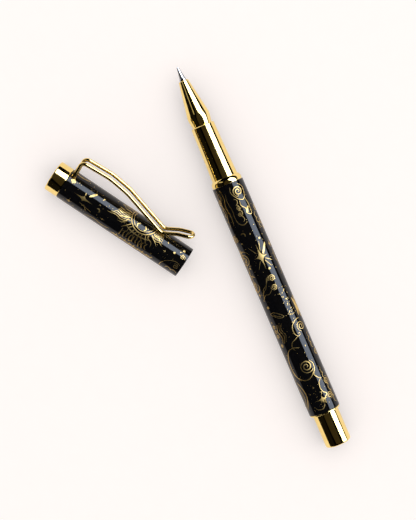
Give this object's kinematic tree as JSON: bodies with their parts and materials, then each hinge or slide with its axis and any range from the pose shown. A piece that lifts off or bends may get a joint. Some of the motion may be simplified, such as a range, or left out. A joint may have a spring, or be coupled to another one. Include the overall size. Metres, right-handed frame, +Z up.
{
  "type": "rollerball pen",
  "caption": "Capped metal rollerball pen with a tapered section, wire pocket clip and lacquered barrel, shown with the cap off beside it.",
  "frame": {"origin": "centre of the flat end of the tail plug", "axes": "+X along the pen from its tail to the writing ball, +Z up with the pen and its cap lying on a level surface at z = -5.2 mm, +Y to the side where the cap lies"},
  "size_m": [0.131, 0.0591, 0.0136],
  "materials": {
    "gold_plate": "mirror-polished gold plating",
    "black_lacquer": "gloss black lacquer with fine gold print",
    "raw_brass": "turned brass",
    "liner_plastic": "black moulded plastic",
    "refill_metal": "drawn metal tube",
    "refill_plastic": "moulded plastic",
    "tip_steel": "bright turned steel",
    "ball_carbide": "polished",
    "spring_steel": "bright wire",
    "screw_steel": "plated",
    "ink": "wet gel ink",
    "grease": "translucent grease plug"
  },
  "bodies": {
    "front": {"grip_section": "gold_plate", "nose_cone": "gold_plate", "section_ring": "gold_plate", "section_insert": "raw_brass"},
    "refill": {"refill_tube": "refill_metal", "refill_nose": "refill_plastic", "refill_tip": "tip_steel", "refill_end_plug": "refill_plastic", "ink_column": "ink"},
    "writing_ball": {"writing_ball": "ball_carbide"},
    "spring": {"refill_spring": "spring_steel"},
    "spring_seat": {"spring_seat": "refill_plastic"},
    "barrel": {"barrel_tube": "black_lacquer", "barrel_bush": "raw_brass", "tail_plug": "gold_plate"},
    "follower": {"ink_follower": "grease"},
    "cap": {"cap_tube": "black_lacquer", "cap_liner": "liner_plastic", "cap_bush": "raw_brass", "finial_screw": "screw_steel", "cap_finial": "gold_plate"},
    "clip": {"clip_wire": "gold_plate"}
  },
  "joints": [
    {"name": "barrel_pull_off", "type": "slide", "parent": "front", "child": "spring", "axis": [1, 0, 0], "range_m": [-0.072, 0]},
    {"name": "thread_travel", "type": "slide", "parent": "spring", "child": "spring_seat", "axis": [1, 0, 0], "range_m": [-0.006, 0]},
    {"name": "barrel_turn", "type": "hinge", "parent": "spring_seat", "child": "barrel", "pos_m": [0, 0, 0], "axis": [1, 0, 0], "range_deg": [-2880, 0]},
    {"name": "refill_push_back", "type": "slide", "parent": "front", "child": "refill", "axis": [-1, 0, 0], "range_m": [0, 0.0012], "stiffness_N_per_m": 250, "springref_m": -0.004, "deforming": ["refill_spring"]},
    {"name": "ball_roll", "type": "hinge", "parent": "refill", "child": "writing_ball", "pos_m": [0.13065, 0, 0], "axis": [0, 1, 0], "continuous": true},
    {"name": "cap_push_on", "type": "slide", "parent": "front", "child": "follower", "axis": [-1, 0, 0], "range_m": [0, 0.0573]},
    {"name": "cap_swing", "type": "hinge", "parent": "follower", "child": "cap", "pos_m": [0.07341, -0.11985, 0], "axis": [0, 0, -1], "range_deg": [0, 32.8]},
    {"name": "clip_flex", "type": "hinge", "parent": "cap", "child": "clip", "pos_m": [0.11262, 0.04312, 0.00267], "axis": [-0.295, 0.4578, 0.8387], "range_deg": [0, 8], "stiffness_Nm_per_rad": 0.5, "springref_deg": -2.86}
  ],
  "couplings": [
    {"joint": "thread_travel", "follows": "barrel_turn", "m_per_rad": 0.00011937}
  ]
}
